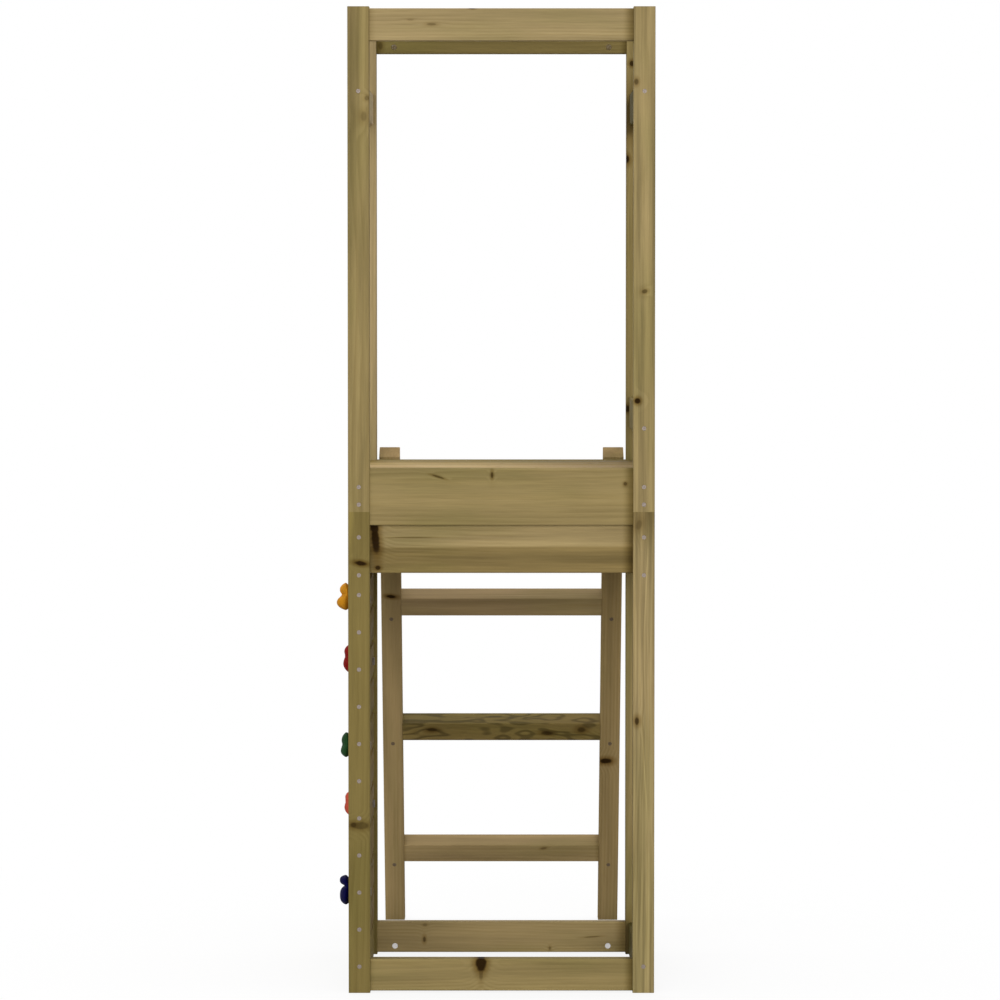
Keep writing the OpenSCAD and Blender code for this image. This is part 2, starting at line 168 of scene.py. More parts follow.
def makeCamera(c):
    data = bpy.data.cameras.new("camera")
    camera = bpy.data.objects.new("camera", data)
    scene.collection.objects.link(camera)
    half = c["pictureSize"] / 2
    data.sensor_width = c["sensor"]
    data.lens = c["focalPixels"] / c["pictureSize"] * c["sensor"]
    data.shift_x = (half - c["aheadColumn"]) / c["pictureSize"]
    data.shift_y = -c["shift"]
    drop = (half - c["aheadRow"]) / c["pictureSize"] - c["shift"]
    tilt = math.atan(drop * c["pictureSize"] / c["focalPixels"])
    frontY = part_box("upper_post_front_left")[0].y
    middleX = (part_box("upper_post_front_left")[0].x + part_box("upper_post_front_right")[1].x) / 2
    camera.location = (middleX, frontY - c["distance"], c["height"])
    camera.rotation_euler = (math.pi / 2 - tilt, 0, 0)
    data.clip_end = c["farClip"]
    scene.camera = camera


makeCamera(cameraSet)
print("camera placed")

# Stage: a pale floor that keeps the shadow, white ground for the eye, soft lamps
stageSet = {
    "floorSize": 30,
    "floorSeen": (0.97, 0.97, 0.97, 1),
    "floorBounce": (0.30, 0.29, 0.27, 1),
    "floorRoughness": 0.9,
    "shadowShare": 0.13,      # how much of the floor's own shading shows near the frame
    "shadowFade": (0.55, 1.5),  # metres from the middle at which the shadow starts and ends fading
    "white": (1, 1, 1, 1),
    "skyLight": 0.42,
    "lamps": [                # place, size, watts
        ((-3.2, -8.7, 2.2), 3.5, 205),
        ((0.4, -9.4, 2.6), 3.0, 200),
        ((3.2, -8.7, 1.8), 3.5, 135),
        ((0.2, -0.6, 9.5), 5.0, 235),
        ((-0.8, 8.2, 6.5), 4.0, 290),
        ((-9.2, 0.6, 3.4), 4.0, 120),
        ((9.2, 0.6, 3.4), 4.0, 80),
    ],
    "aim": (0, 0, 0.9),
}


# 1 for rays that show a surface to the eye, straight or in a reflection, and 0 for those that light it
def seenRay(tree):
    path = tree.nodes.new("ShaderNodeLightPath")
    straightOrMirrored = calc(tree, "MAXIMUM", path.outputs["Is Camera Ray"], path.outputs["Is Glossy Ray"])
    return calc(tree, "MAXIMUM", straightOrMirrored, path.outputs["Is Transmission Ray"])


def makeWorld(s):
    world = bpy.data.worlds.new("studio")
    world.use_nodes = True
    tree = world.node_tree
    light = tree.nodes["Background"]
    light.inputs["Color"].default_value = s["white"]
    light.inputs["Strength"].default_value = s["skyLight"]
    white = tree.nodes.new("ShaderNodeBackground")
    white.inputs["Color"].default_value = s["white"]
    mix = tree.nodes.new("ShaderNodeMixShader")
    tree.links.new(seenRay(tree), mix.inputs["Fac"])
    tree.links.new(light.outputs[0], mix.inputs[1])
    tree.links.new(white.outputs[0], mix.inputs[2])
    tree.links.new(mix.outputs[0], tree.nodes["World Output"].inputs["Surface"])
    scene.world = world


def makeFloor(s):
    half = s["floorSize"] / 2
    corners = [(-half, -half, 0), (half, -half, 0), (half, half, 0), (-half, half, 0)]
    mesh = bpy.data.meshes.new("floor")
    mesh.from_pydata(corners, [], [(0, 1, 2, 3)])
    floor = bpy.data.objects.new("floor", mesh)
    scene.collection.objects.link(floor)
    material, tree, plain, place = startMaterial("paleFloor")
    plain.inputs["Roughness"].default_value = s["floorRoughness"]
    seen = seenRay(tree)
    tree.links.new(blend(tree, "MIX", seen, s["floorBounce"], s["floorSeen"]), plain.inputs["Base Color"])
    away = calcVector(tree, "LENGTH", place)
    whiteShare = ease(tree, away, s["shadowFade"], (1 - s["shadowShare"], 1.0))
    glow = tree.nodes.new("ShaderNodeEmission")
    mix = tree.nodes.new("ShaderNodeMixShader")
    tree.links.new(calc(tree, "MULTIPLY", seen, whiteShare), mix.inputs["Fac"])
    tree.links.new(plain.outputs[0], mix.inputs[1])
    tree.links.new(glow.outputs[0], mix.inputs[2])
    tree.links.new(mix.outputs[0], tree.nodes["Material Output"].inputs["Surface"])
    mesh.materials.append(material)


def makeLamps(s):
    for index, (place, size, watts) in enumerate(s["lamps"]):
        data = bpy.data.lights.new(f"softLamp{index + 1}", "AREA")
        data.size = size
        data.energy = watts
        lamp = bpy.data.objects.new(data.name, data)
        scene.collection.objects.link(lamp)
        lamp.location = place
        lamp.rotation_euler = (Vector(s["aim"]) - Vector(place)).to_track_quat("-Z", "Y").to_euler()


makeWorld(stageSet)
makeFloor(stageSet)
makeLamps(stageSet)
print("stage lit")

# Impregnated pine: growth rings round a pith line, fibres along the timber, knots through it.
# A noise is given by its scales across and along the timber, its detail and, for one, its roughness
pineSet = {
    "seed": 11,
    "colour": (0.297, 0.224, 0.097),  # of plain wood, before each timber's own shade
    "blueFall": 1.65,                 # darker timbers are yellower
    "shadeSpread": (0.88, 0.24),      # least shade of a timber that has none noted below, and its random part
    "contrast": 0.07,                 # between early and late wood
    "lightGain": 0.55,
    "darkGains": (1.5, 1.7, 2.4),
    "figureMost": 1.8,
    "ringWidth": 0.0060,
    "ringRagged": 0.5,
    "pithNear": 0.018,                # least and most distance of the pith from the timber's middle
    "pithFar": 0.060,
    "wander": 0.032,                  # how far the rings wander along the timber
    "driftNoise": (7.0, 1.3, 1.5),
    "lateRise": (0.1, 0.8),           # shares of a ring over which late wood sets in and ends
    "lateFall": (0.8, 1.0),
    "patchNoise": (45.0, 4.0, 2),
    "patchRange": (0.35, 0.65),
    "patchLeast": 0.15,
    "streakNoise": (48.0, 1.8, 4, 0.6),
    "streakRange": (0.25, 0.75),
    "streakFall": 0.17,
    "streakGain": 0.15,
    "fibreNoise": (1400.0, 26.0, 2),
    "fibreShades": (0.94, 1.05),
    "blotchNoise": (14.0, 3.0, 2),
    "blotchShades": (1.07, 0.93),
    "noiseRange": (0.3, 0.7),         # of fibres and blotches
    "greenTint": (0.90, 1.0, 0.80, 1),
    "greenRange": (0.45, 0.7),
    "greenMost": 0.45,
    "darkeningPowers": (1.1, 1.5),         # of green and of blue in darkened wood, painted shade included
    "endTint": (1.0, 0.95, 0.90, 1),
    "endRange": (0.8, 0.95),
    "roughness": (0.78, 0.62),        # of early and late wood
    "specular": 0.05,
    "lateRelief": 0.5,
    "bump": (0.25, 0.0006),
    "knotCore": (0.020, 0.009, 0.001, 1),
    "knotHalo": (0.60, 0.50, 0.34, 1),
    "fineNoise": (60.0, 6.0, 3),
    "knotRagged": 1.2,
    "coreEdge": (0.6, 1.15),          # in knot radii
    "haloEdge": (0.8, 2.4),
    "swellEdge": (0.4, 5.0),
    "swellMost": 0.008,               # how far a knot pushes the rings out, and its share of the knot's size
    "swellShare": 1.4,
    "hiddenKnots": 2,                 # small knots on a timber that has none noted below
    "hiddenPlaces": (0.15, 0.85),
    "hiddenRadii": (0.002, 0.005),
    "hiddenStretch": (0.8, 1.7),
    "hiddenDarkness": (0.35, 0.9),
    "tonesAndPaintedLight": {                       # of single timbers, seen in the photograph: mostly each timber's own tone, but painted light or shade on some whose seen faces lie in light or shade
        "upper_post_front_left": 0.93, "upper_post_front_right": 1.05, "lower_post_front_left": 0.64,
        # top_rail_rear is darker as painted shade on its shaded faces
        "lower_post_front_right": 1.13, "top_rail_front": 1.16, "top_rail_rear": 0.72,
        "deck_board_front_upper": 0.97, "deck_board_front_lower": 1.10, "bottom_rail_front": 0.92,
        # bottom_rail_rear, and in part ladder_rung_1 and ladder_rung_3, are lighter as painted light where
        # the deck shades them
        "bottom_rail_rear": 1.25, "ladder_stringer_left": 1.06, "ladder_stringer_right": 1.0,
        "ladder_rung_1": 1.22, "ladder_rung_2": 0.65, "ladder_rung_3": 1.10, "deck_plank_1": 1.30,
        # deck_board_rear_upper is darker as painted shade on its face in shade
        "deck_plank_2": 1.56, "deck_plank_3": 1.17, "deck_plank_4": 0.72, "deck_board_rear_upper": 0.70,
        # painted shade on lower_post_rear_left, the right guard rails and bottom_rail_right, whose seen faces
        # lie in shade; painted light on guard_rail_left
        "upper_post_rear_left": 1.22, "upper_post_rear_right": 0.84, "lower_post_rear_left": 0.60,
        "guard_rail_right_top": 0.25, "guard_rail_right_low": 0.6, "guard_rail_left": 1.58,
        "bottom_rail_right": 0.30, "bottom_rail_left": 0.7,
    },
    "slatShade": 0.86,
    "slatInsideShade": 0.64,               # painted shade: the inner faces of the wall are darker than the outer ones
    "insideShadeRange": (0.3, 0.7),
    "tints": {
        "climbing_slat": (1.06, 0.96, 0.86),
        "deck_plank": (1.05, 0.98, 0.76),
        "ladder": (1.03, 0.98, 1.0),
        "bottom_rail_rear": (1.0, 0.98, 0.89),
    },
    "figure": {"ladder_rung_2": 3.0, "lower_post_front_right": 1.5},
    "streaks": {                      # strength of the streaks, where it isn't 1
        "upper_post_front_right": 2.2, "lower_post_front_right": 2.6, "deck_board_front_lower": 1.6,
        "upper_post_front_left": 1.7, "upper_post_rear_left": 1.6, "upper_post_rear_right": 1.6,
    },
    "streakScales": {"upper_post_front_right": 85.0, "lower_post_front_right": 95.0},
    # Height, half the width of the change and shade below it
    "bands": {"deck_board_front_lower": (0.7655, 0.003, 0.64)},
    "bandSag": 0.012,
    # Width and shade of the painted shade at the dark ends of a timber, left and right, beside the posts and
    # stringers that shade them; the deck planks grow darker towards the right
    "paintedEndShade": {
        "top_rail_front": (0.014, 0.86, 0.021, 0.46),
        "top_rail_rear": (0.010, 0.55, 0.014, 0.6),
        "deck_board_front_upper": (0.006, 0.94, 0.020, 0.45),
        "deck_board_front_lower": (0.004, 0.8, 0.021, 0.40),
        "bottom_rail_front": (0.010, 0.9, 0.018, 0.46),
        "bottom_rail_rear": (0.004, 0.95, 0.024, 0.58),
        "ladder_rung_3": (0.006, 0.8, 0.010, 0.75),
        "deck_plank_1": (0.01, 1.0, 0.26, 0.62),
        "deck_plank_2": (0.01, 1.0, 0.38, 0.58),
        "deck_plank_3": (0.01, 1.0, 0.38, 0.58),
        "deck_plank_4": (0.01, 1.0, 0.34, 0.60),
    },
    # Height and shade of a dark upper end
    "caps": {"lower_post_front_right": (0.075, 0.68)},
    # Shade of dark curls in the figure
    "swirls": {"ladder_rung_2": 0.55},
    "swirlNoise": (42.0, 13.0, 1),
    "swirlTurns": 4.0,
    "swirlEdge": (0.06, 0.30),
    # Pale lines: like the knots, with the gain in brightness last
    "paleEdge": (0.2, 1.2),
    "paleLines": {
        "lower_post_front_right": [
            (0.2475, 0.690, 0.0014, 0.110, -2.4, 0.34),
            (0.2530, 0.520, 0.0012, 0.085, 0.5, 0.34),
            (0.2455, 0.380, 0.0012, 0.090, 3.5, 0.30),
        ],
        "lower_post_front_left": [(-0.2605, 0.822, 0.0095, 0.060, 0, 0.40)],
    },
    # Knots: x and z from the middle of the front, half width, half height, tilt in degrees, darkness
    "knots": {
        "upper_post_front_left": [
            (-0.2347, 1.503, 0.006, 0.010, 0, 0.3),
            (-0.2295, 1.534, 0.004, 0.004, 0, 0.35),
        ],
        "upper_post_front_right": [
            (0.2324, 1.018, 0.0055, 0.005, 0, 1),
            (0.2444, 1.205, 0.005, 0.0035, 15, 0.6),
            (0.2295, 1.562, 0.004, 0.006, 0, 0.6),
        ],
        "upper_post_rear_right": [
            (0.2272, 1.442, 0.005, 0.010, 0, 1.0),
            # a wide dark patch on the post's face, drawn like a knot
            (0.2305, 1.513, 0.016, 0.038, 0, 0.60),
            (0.2277, 0.992, 0.005, 0.006, 0, 0.9),
            (0.235, 1.614, 0.004, 0.005, 0, 0.9),
        ],
        "lower_post_front_left": [
            (-0.241, 0.740, 0.011, 0.004, -8, 1),
            (-0.246, 0.289, 0.018, 0.006, 0, 0.5),
            (-0.254, 0.290, 0.007, 0.006, 0, 0.75),
        ],
        "lower_post_front_right": [
            (0.2324, 0.469, 0.004, 0.008, 0, 0.8),
            (0.236, 0.806, 0.006, 0.010, -25, 0.30),
        ],
        # a wide dark patch at the post's foot, drawn like a knot
        "lower_post_rear_right": [(0.231, 0.020, 0.030, 0.038, 0, 0.5)],
        "top_rail_front": [
            (-0.119, 1.660, 0.009, 0.0022, 0, 0.4),
            (-0.155, 1.6675, 0.006, 0.0016, 0, 0.22),
            (-0.0495, 1.687, 0.006, 0.0018, 0, 0.7),
        ],
        "top_rail_rear": [(-0.218, 1.645, 0.005, 0.008, 0, 0.5)],
        "deck_board_front_upper": [
            (-0.016, 0.891, 0.0025, 0.006, 0, 0.7),
            (-0.108, 0.888, 0.011, 0.0017, -18, 0.6),
            (0.212, 0.876, 0.003, 0.003, 0, 0.6),
        ],
        "deck_board_front_lower": [
            (-0.217, 0.790, 0.0075, 0.034, 5, 1.0),
            (-0.212, 0.731, 0.005, 0.004, 0, 0.9),
            (-0.152, 0.783, 0.036, 0.0010, 0, 0.45),
            (-0.020, 0.805, 0.060, 0.0008, 0, 0.35),
        ],
        "bottom_rail_front": [
            (-0.035, 0.050, 0.0085, 0.015, 0, 1),
            (-0.035, 0.034, 0.004, 0.014, 0, 0.4),
        ],
        "bottom_rail_rear": [
            (-0.140, 0.027, 0.003, 0.006, 0, 0.6),
            (-0.139, 0.053, 0.004, 0.003, 0, 0.3),
            (0.088, 0.010, 0.0025, 0.004, 0, 0.4),
            (0.165, 0.031, 0.014, 0.0012, 4, 0.4),
        ],
        "ladder_stringer_left": [(-0.204, 0.641, 0.010, 0.0035, -6, 1)],
        "ladder_stringer_right": [(0.196, 0.321, 0.012, 0.006, 0, 1)],
        "ladder_rung_1": [],
        "ladder_rung_2": [
            (-0.130, 0.383, 0.010, 0.004, 0, 0.7),
            (0.085, 0.376, 0.012, 0.004, 0, 0.7),
            (0.150, 0.383, 0.010, 0.006, 0, 0.7),
        ],
        "ladder_rung_3": [(0.080, 0.146, 0.006, 0.002, 10, 0.4)],
    },
}


def ladderLean():
    low, high = middleOf("ladder_rung_3"), middleOf("ladder_rung_1")
    return math.atan2(low[1] - high[1], high[2] - low[2])


def isStringer(name):
    return name.startswith("ladder_stringer")


# Direction of a timber's length: its longest side, or Z once a ladder stringer is turned upright
def lengthAxis(name):
    low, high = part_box(name)
    return 2 if isStringer(name) else int(np.argmax(np.array(high - low)))


# Direction that the sawn ends of a timber face
def endNormal(name):
    if isStringer(name):
        return (0, -math.sin(ladderLean()), math.cos(ladderLean()))
    return tuple(np.eye(3)[lengthAxis(name)])


# Place that the grain is measured in: that of the object, with a leaning stringer turned upright
def grainPlace(tree, place, name):
    if not isStringer(name):
        return place
    turned = tree.nodes.new("ShaderNodeMapping")
    turned.inputs["Rotation"].default_value = (-ladderLean(), 0, 0)
    tree.links.new(place, turned.inputs["Vector"])
    return turned.outputs["Vector"]


def grainMiddle(name):
    x, y, z = middleOf(name)
    if not isStringer(name):
        return np.array((x, y, z))
    lean = ladderLean()
    return np.array((x, y * math.cos(lean) + z * math.sin(lean), 0))


# Way from the middle of a timber to its pith line, square to its length
def pithOffset(name, s, rng):
    along = lengthAxis(name)
    first, second = [axis for axis in range(3) if axis != along]
    angle = rng.uniform(0, 2 * math.pi)
    far = rng.uniform(s["pithNear"], s["pithFar"])
    pith = np.zeros(3)
    pith[first] = far * math.cos(angle)
    pith[second] = far * math.sin(angle)
    return pith


# Knots run through the thinnest way of a timber: Y at the front and back, X at the sides, Z in the deck
def knotAxis(name):
    size = np.array(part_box(name)[1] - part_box(name)[0])
    if name.startswith(("deck_plank", "ladder")):
        return 2 if name.startswith("deck_plank") else 1
    if lengthAxis(name) == 1:
        return 0
    return 1 if lengthAxis(name) == 0 else int(np.argmin(size[:2]))


# Centre, half sizes, tilt and darkness of each knot, and the direction that they run in
def knotsOf(name, s, rng):
    if name in s["knots"]:
        shiftX = middleOf("top_rail_front")[0]
        noted = s["knots"][name]
        return [((x + shiftX, 0, z), (w, 1, h), tilt, dark) for x, z, w, h, tilt, dark in noted], 1
    low, high = (np.array(corner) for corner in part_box(name))
    made = []
    for _ in range(s["hiddenKnots"]):
        place = low + (high - low) * rng.uniform(*s["hiddenPlaces"], 3)
        size = rng.uniform(*s["hiddenRadii"]) * rng.uniform(*s["hiddenStretch"], 3)
        made.append((tuple(place), tuple(size), 0, rng.uniform(*s["hiddenDarkness"])))
    return made, knotAxis(name)


# How far a point lies from the axis of an oval that runs through a timber, in half widths of the oval
def ovalRadius(tree, place, centre, size, tilt, across):
    scale = [1 / size[axis] for axis in range(3)]
    scale[across] = 0
    off = calcVector(tree, "SUBTRACT", place, centre)
    if tilt:
        spin = tree.nodes.new("ShaderNodeVectorRotate")
        spin.rotation_type = "Y_AXIS"
        spin.inputs["Angle"].default_value = math.radians(tilt)
        tree.links.new(off, spin.inputs["Vector"])
        off = spin.outputs["Vector"]
    return calcVector(tree, "LENGTH", calcVector(tree, "MULTIPLY", off, tuple(scale)))


# Dark core and halo of the knots, by the distance in knot radii, and how far they push the rings out
def knotFields(tree, place, knots, across, fine, s):
    ragged = calc(tree, "MULTIPLY", calc(tree, "SUBTRACT", fine, 0.5), s["knotRagged"])
    core = halo = push = 0.0
    for centre, size, tilt, dark in knots:
        out = ovalRadius(tree, place, centre, size, tilt, across)
        edge = calc(tree, "ADD", out, ragged)
        core = calc(tree, "MAXIMUM", core, ease(tree, edge, s["coreEdge"], (dark, 0.0)))
        halo = calc(tree, "MAXIMUM", halo, ease(tree, edge, s["haloEdge"], (dark, 0.0)))
        swell = min(s["swellMost"], s["swellShare"] * min(size))
        push = calc(tree, "ADD", push, ease(tree, out, s["swellEdge"], (swell, 0.0)))
    return core, halo, push


# Share of dark late wood, the end of each ring: the ring number at a point is its distance from the
# wandering pith line over the ring width, pushed outwards near a knot
def lateShare(tree, grain, pithPlace, sway, push, fine, flat, s):
    off = calcVector(tree, "SUBTRACT", grain, tuple(pithPlace))
    section = calcVector(tree, "ADD", calcVector(tree, "MULTIPLY", off, flat), sway)
    radius = calc(tree, "ADD", calcVector(tree, "LENGTH", section), push)
    rings = calc(tree, "DIVIDE", radius, s["ringWidth"])
    ringNumber = calc(tree, "ADD", rings, calc(tree, "MULTIPLY", fine, s["ringRagged"]))
    share = calc(tree, "FRACT", ringNumber)
    setsIn = ease(tree, share, s["lateRise"], (0.0, 1.0))
    return calc(tree, "MULTIPLY", setsIn, ease(tree, share, s["lateFall"], (1.0, 0.0)))


# Colours of early and late wood
def ringColours(name, figure, s, rng):
    least, spread = s["shadeSpread"]
    other = s["slatShade"] if name.startswith("climbing_slat") else least + spread * rng.random()
    shade = s["tonesAndPaintedLight"].get(name, other)
    plain = np.array(s["colour"]) * shade
    for start, tint in s["tints"].items():
        plain *= np.array(tint) if name.startswith(start) else 1
    plain[2] *= shade ** (s["blueFall"] - 1)
    late = 1 - np.array(s["darkGains"]) * s["contrast"] * min(figure, s["figureMost"])
    early = 1 + s["lightGain"] * s["contrast"]
    return tuple(plain * early) + (1,), tuple(plain * late) + (1,)


# Darkening of wood, painted shade included: green falls a little faster than red, and blue faster still
def warmDarkening(tree, value, s):
    greenPower, bluePower = s["darkeningPowers"]
    node = tree.nodes.new("ShaderNodeCombineColor")
    tree.links.new(value, node.inputs["Red"])
    tree.links.new(calc(tree, "POWER", value, greenPower), node.inputs["Green"])
    tree.links.new(calc(tree, "POWER", value, bluePower), node.inputs["Blue"])
    return node.outputs["Color"]


# Darker wood below a band, painted shade at the left and right ends, and a darker upper end
def addBandCapAndPaintedEndShade(tree, wood, place, drift, name, s):
    low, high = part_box(name)
    parts = tree.nodes.new("ShaderNodeSeparateXYZ")
    tree.links.new(place, parts.inputs[0])
    x, z = parts.outputs["X"], parts.outputs["Z"]
    if name in s["bands"]:
        level, width, below = s["bands"][name]
        sag = calc(tree, "MULTIPLY", calc(tree, "SUBTRACT", drift, 0.5), s["bandSag"])
        damp = ease(tree, calc(tree, "ADD", z, sag), (level - width, level + width), (below, 1.0))
        wood = shaded(tree, wood, warmDarkening(tree, damp, s))
    # Painted shade at the ends, where the posts beside the timber shade it
    if name in s["paintedEndShade"]:
        leftWidth, leftShade, rightWidth, rightShade = s["paintedEndShade"][name]
        leftEnd = ease(tree, x, (low.x, low.x + leftWidth), (leftShade, 1.0))
        rightEnd = ease(tree, x, (high.x - rightWidth, high.x), (1.0, rightShade))
        wood = shaded(tree, wood, warmDarkening(tree, calc(tree, "MULTIPLY", leftEnd, rightEnd), s))
    if name in s["caps"]:
        capHeight, capShade = s["caps"][name]
        upperEnd = ease(tree, z, (high.z - capHeight, high.z), (1.0, capShade))
        wood = shaded(tree, wood, warmDarkening(tree, upperEnd, s))
    return wood


def addPaleLines(tree, wood, place, name, s):
    for x, z, halfWidth, halfHeight, tilt, gain in s["paleLines"].get(name, []):
        centre = (x + middleOf("top_rail_front")[0], 0, z)
        out = ovalRadius(tree, place, centre, (halfWidth, 1, halfHeight), tilt, 1)
        wood = shaded(tree, wood, greyOf(tree, ease(tree, out, s["paleEdge"], (1 + gain, 1.0))))
    return wood


def pineMaterial(name, s, index):
    rng = np.random.default_rng(index + s["seed"])
    material, tree, shader, place = startMaterial("pine_" + name)
    knots, across = knotsOf(name, s, rng)
    pithPlace = grainMiddle(name) + pithOffset(name, s, rng)
    along = lengthAxis(name)
    figure = s["figure"].get(name, 1.0)
    grain = grainPlace(tree, place, name)

    def grainNoise(acrossScale, alongScale, detail, roughness=0.5):
        scale = [acrossScale] * 3
        scale[along] = alongScale
        return noise(tree, calcVector(tree, "MULTIPLY", grain, tuple(scale)), detail, roughness)

    # Knots and rings
    fine = grainNoise(*s["fineNoise"]).outputs["Fac"]
    core, halo, push = knotFields(tree, place, knots, across, fine, s)
    driftAcross, driftAlong, driftDetail = s["driftNoise"]
    drift = grainNoise(driftAcross, driftAlong * figure, driftDetail)
    flat = 1 - np.eye(3)[along]
    wandering = calcVector(tree, "SUBTRACT", drift.outputs["Color"], (0.5, 0.5, 0.5))
    sway = calcVector(tree, "MULTIPLY", wandering, tuple(flat * s["wander"] * figure))
    late = lateShare(tree, grain, pithPlace, sway, push, fine, tuple(flat), s)
    patchy = grainNoise(*s["patchNoise"]).outputs["Fac"]
    late = calc(tree, "MULTIPLY", late, ease(tree, patchy, s["patchRange"], (s["patchLeast"], 1.0)))
    wood = blend(tree, "MIX", late, *ringColours(name, figure, s, rng))

    # Streaks and fibres
    streakAcross, streakAlong, streakDetail, streakRoughness = s["streakNoise"]
    streakAcross = s["streakScales"].get(name, streakAcross)
    streak = grainNoise(streakAcross, streakAlong, streakDetail, streakRoughness).outputs["Fac"]
    strength = s["streaks"].get(name, 1.0)
    streakShades = (1 - s["streakFall"] * strength, 1 + s["streakGain"] * strength)
    wood = shaded(tree, wood, greyOf(tree, ease(tree, streak, s["streakRange"], streakShades)))
    fibre = grainNoise(*s["fibreNoise"]).outputs["Fac"]
    wood = shaded(tree, wood, greyOf(tree, ease(tree, fibre, s["noiseRange"], s["fibreShades"])))

    # Marks: a darker band and upper end, painted shade at the ends, pale lines, curls along the level lines
    # of a noise, blotches, knots
    wood = addBandCapAndPaintedEndShade(tree, wood, place, drift.outputs["Fac"], name, s)
    wood = addPaleLines(tree, wood, place, name, s)
    if name in s["swirls"]:
        curl = grainNoise(*s["swirlNoise"]).outputs["Fac"]
        level = calc(tree, "FRACT", calc(tree, "MULTIPLY", curl, s["swirlTurns"]))
        away = calc(tree, "ABSOLUTE", calc(tree, "SUBTRACT", level, 0.5))
        curls = ease(tree, away, s["swirlEdge"], (s["swirls"][name], 1.0))
        wood = shaded(tree, wood, greyOf(tree, curls))
    blotch = grainNoise(*s["blotchNoise"]).outputs["Fac"]
    wood = shaded(tree, wood, greyOf(tree, ease(tree, blotch, s["noiseRange"], s["blotchShades"])))
    green = ease(tree, blotch, s["greenRange"], (0.0, s["greenMost"]))
    wood = blend(tree, "MULTIPLY", green, wood, s["greenTint"])
    wood = blend(tree, "MULTIPLY", halo, wood, s["knotHalo"])
    wood = blend(tree, "MIX", core, wood, s["knotCore"])

    # Sawn ends are a little warmer; the inner faces of the wall are darker, as painted shade
    normal = tree.nodes.new("ShaderNodeNewGeometry").outputs["True Normal"]
    facing = calc(tree, "ABSOLUTE", calcVector(tree, "DOT_PRODUCT", normal, endNormal(name)))
    wood = blend(tree, "MULTIPLY", ease(tree, facing, s["endRange"], (0.0, 1.0)), wood, s["endTint"])
    if name.startswith("climbing_slat"):
        inwards = calcVector(tree, "DOT_PRODUCT", normal, (1, 0, 0))
        inside = ease(tree, inwards, s["insideShadeRange"], (1.0, s["slatInsideShade"]))
        wood = shaded(tree, wood, greyOf(tree, inside))

    tree.links.new(wood, shader.inputs["Base Color"])
    tree.links.new(ease(tree, late, (0.0, 1.0), s["roughness"]), shader.inputs["Roughness"])
    shader.inputs["Specular IOR Level"].default_value = s["specular"]
    height = calc(tree, "ADD", calc(tree, "MULTIPLY", late, s["lateRelief"]), fibre)
    addBump(tree, shader, height, *s["bump"])
    return material


timberNames = namesOf("pine")
for number, timberName in enumerate(timberNames):
    recolour(nodes[timberName], pineMaterial(timberName, pineSet, number))
print("timbers dressed:", len(timberNames))

# Zinc plate: faint cloudy crystals, dull where it has been handled
zincSet = {
    "cloudScale": 900,
    "cloudDetail": 3,
    "cloudRange": (0.3, 0.7),
    "cloudShades": (0.86, 1.1),
    "dullShares": (0.85, 1.2),
    "bumpDepth": 0.0002,
    "finishes": {
        "zincPlate": {"colour": (0.20, 0.165, 0.14), "dull": 0.5, "metallic": 0.75, "relief": 0.15},
        # painted shade: the lock screws under the rungs sit in shade, so this zinc is dark brown and hardly
        # metallic
        "paintedShadeZinc": {"colour": (0.13, 0.09, 0.048), "dull": 0.6, "metallic": 0.1, "relief": 0.15},
        "turnedZinc": {"colour": (0.55, 0.53, 0.51), "dull": 0.06, "metallic": 1.0, "relief": 0.01},
    },
}


def zincMaterial(name, s):
    finish = s["finishes"][name]
    material, tree, shader, place = startMaterial(name)
    cloud = evenNoise(tree, place, s["cloudScale"], s["cloudDetail"])
    shade = greyOf(tree, ease(tree, cloud, s["cloudRange"], s["cloudShades"]))
    tree.links.new(shaded(tree, finish["colour"] + (1,), shade), shader.inputs["Base Color"])
    shader.inputs["Metallic"].default_value = finish["metallic"]
    roughness = [share * finish["dull"] for share in s["dullShares"]]
    tree.links.new(ease(tree, cloud, s["cloudRange"], roughness), shader.inputs["Roughness"])
    addBump(tree, shader, cloud, finish["relief"], s["bumpDepth"])
    return material


zinc = zincMaterial("zincPlate", zincSet)
shadedLockZinc = zincMaterial("paintedShadeZinc", zincSet)
brightZinc = zincMaterial("turnedZinc", zincSet)
for metalName in namesOf("zinc_steel"):
    recolour(nodes[metalName], brightZinc if metalName == "barrel_nuts" else zinc)
print("metal dressed")

# Moulded plastic: fine pebbled skin and a little cloudiness in the colour
plasticSet = {
    "cloudScale": 45,
    "cloudDetail": 3,
    "cloudShades": (0.88, 1.1),
    "pebbleScale": 1500,
    "pebbleDetail": 2,
    "noiseRange": (0.3, 0.7),
    "roughness": (0.6, 0.8),
    "specular": 0.03,
    "bump": (0.3, 0.0004),
}


def plasticMaterial(name, colour, s):
    material, tree, shader, place = startMaterial(name)
    cloud = evenNoise(tree, place, s["cloudScale"], s["cloudDetail"])
    shade = greyOf(tree, ease(tree, cloud, s["noiseRange"], s["cloudShades"]))
    tree.links.new(shaded(tree, colour + (1,), shade), shader.inputs["Base Color"])
    pebble = evenNoise(tree, place, s["pebbleScale"], s["pebbleDetail"])
    tree.links.new(ease(tree, pebble, s["noiseRange"], s["roughness"]), shader.inputs["Roughness"])
    shader.inputs["Specular IOR Level"].default_value = s["specular"]
    addBump(tree, shader, pebble, *s["bump"])
    return material


# Puts points and faces into a new piece that rides on the root and stands for a node
def addPiece(name, points, faces, material, standsFor, sharpAngle):
    mesh = bpy.data.meshes.new(name)
    mesh.from_pydata(points, [], faces)
    mesh.materials.append(material)
    mesh.shade_smooth()
    mesh.set_sharp_from_angle(angle=math.radians(sharpAngle))
    piece = bpy.data.objects.new(name, mesh)
    scene.collection.objects.link(piece)
    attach(piece, "root")
    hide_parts(standsFor)


